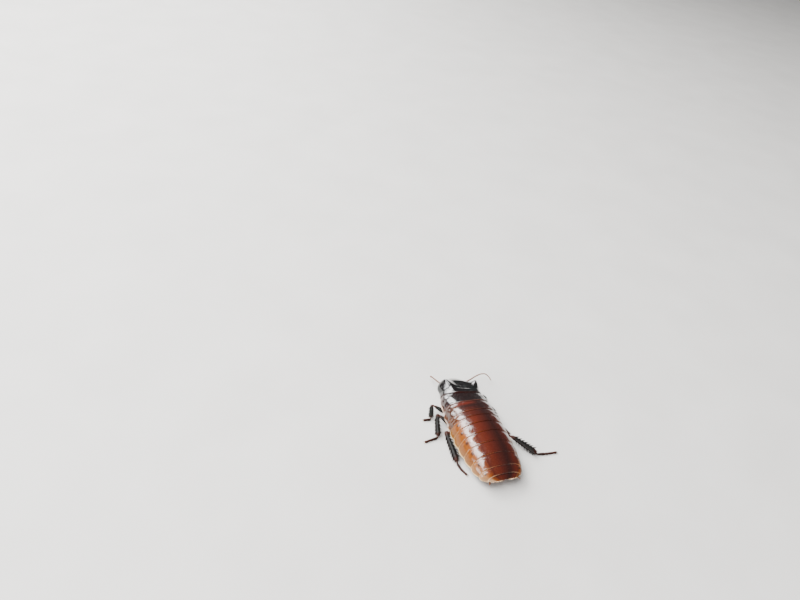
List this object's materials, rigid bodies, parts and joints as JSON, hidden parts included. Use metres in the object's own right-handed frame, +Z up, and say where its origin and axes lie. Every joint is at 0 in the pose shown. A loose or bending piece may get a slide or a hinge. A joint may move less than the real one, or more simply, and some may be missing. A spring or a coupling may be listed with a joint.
{
  "type": "hissing_cockroach",
  "caption": "Madagascar hissing cockroach, an adult male standing still with its feelers out, life-size",
  "frame": {"origin": "the middle of the underside of the whole box, on the floor", "axes": "+X the animal's right, +Y towards the head, +Z up"},
  "size_m": [0.0604, 0.0658, 0.0145],
  "materials": {
    "black_shell": "glossy",
    "brown_shell": "glossy",
    "tan_shell": "satin",
    "leg_shell": "glossy",
    "eye": "glossy",
    "feeler": "satin"
  },
  "bodies": {
    "root": {"abdomen_1": "brown_shell", "abdomen_2": "brown_shell", "abdomen_3": "brown_shell", "abdomen_4": "brown_shell", "abdomen_5": "brown_shell", "abdomen_6": "brown_shell", "abdomen_7": "brown_shell", "abdomen_end": "brown_shell", "antenna_left": "feeler", "antenna_right": "feeler", "cercus_left": "feeler", "cercus_right": "feeler", "coxa_fore_left": "leg_shell", "coxa_fore_right": "leg_shell", "coxa_hind_left": "leg_shell", "coxa_hind_right": "leg_shell", "coxa_mid_left": "leg_shell", "coxa_mid_right": "leg_shell", "eye_left": "eye", "eye_right": "eye", "femur_fore_left": "leg_shell", "femur_fore_right": "leg_shell", "femur_hind_left": "leg_shell", "femur_hind_right": "leg_shell", "femur_mid_left": "leg_shell", "femur_mid_right": "leg_shell", "head": "black_shell", "mesothorax": "black_shell", "metathorax": "black_shell", "mouthparts": "leg_shell", "palp_left": "feeler", "palp_right": "feeler", "pronotum": "black_shell", "prothorax": "tan_shell", "tarsus_fore_left": "leg_shell", "tarsus_fore_right": "leg_shell", "tarsus_hind_left": "leg_shell", "tarsus_hind_right": "leg_shell", "tarsus_mid_left": "leg_shell", "tarsus_mid_right": "leg_shell", "tibia_fore_left": "leg_shell", "tibia_fore_right": "leg_shell", "tibia_hind_left": "leg_shell", "tibia_hind_right": "leg_shell", "tibia_mid_left": "leg_shell", "tibia_mid_right": "leg_shell"}
  },
  "joints": []
}
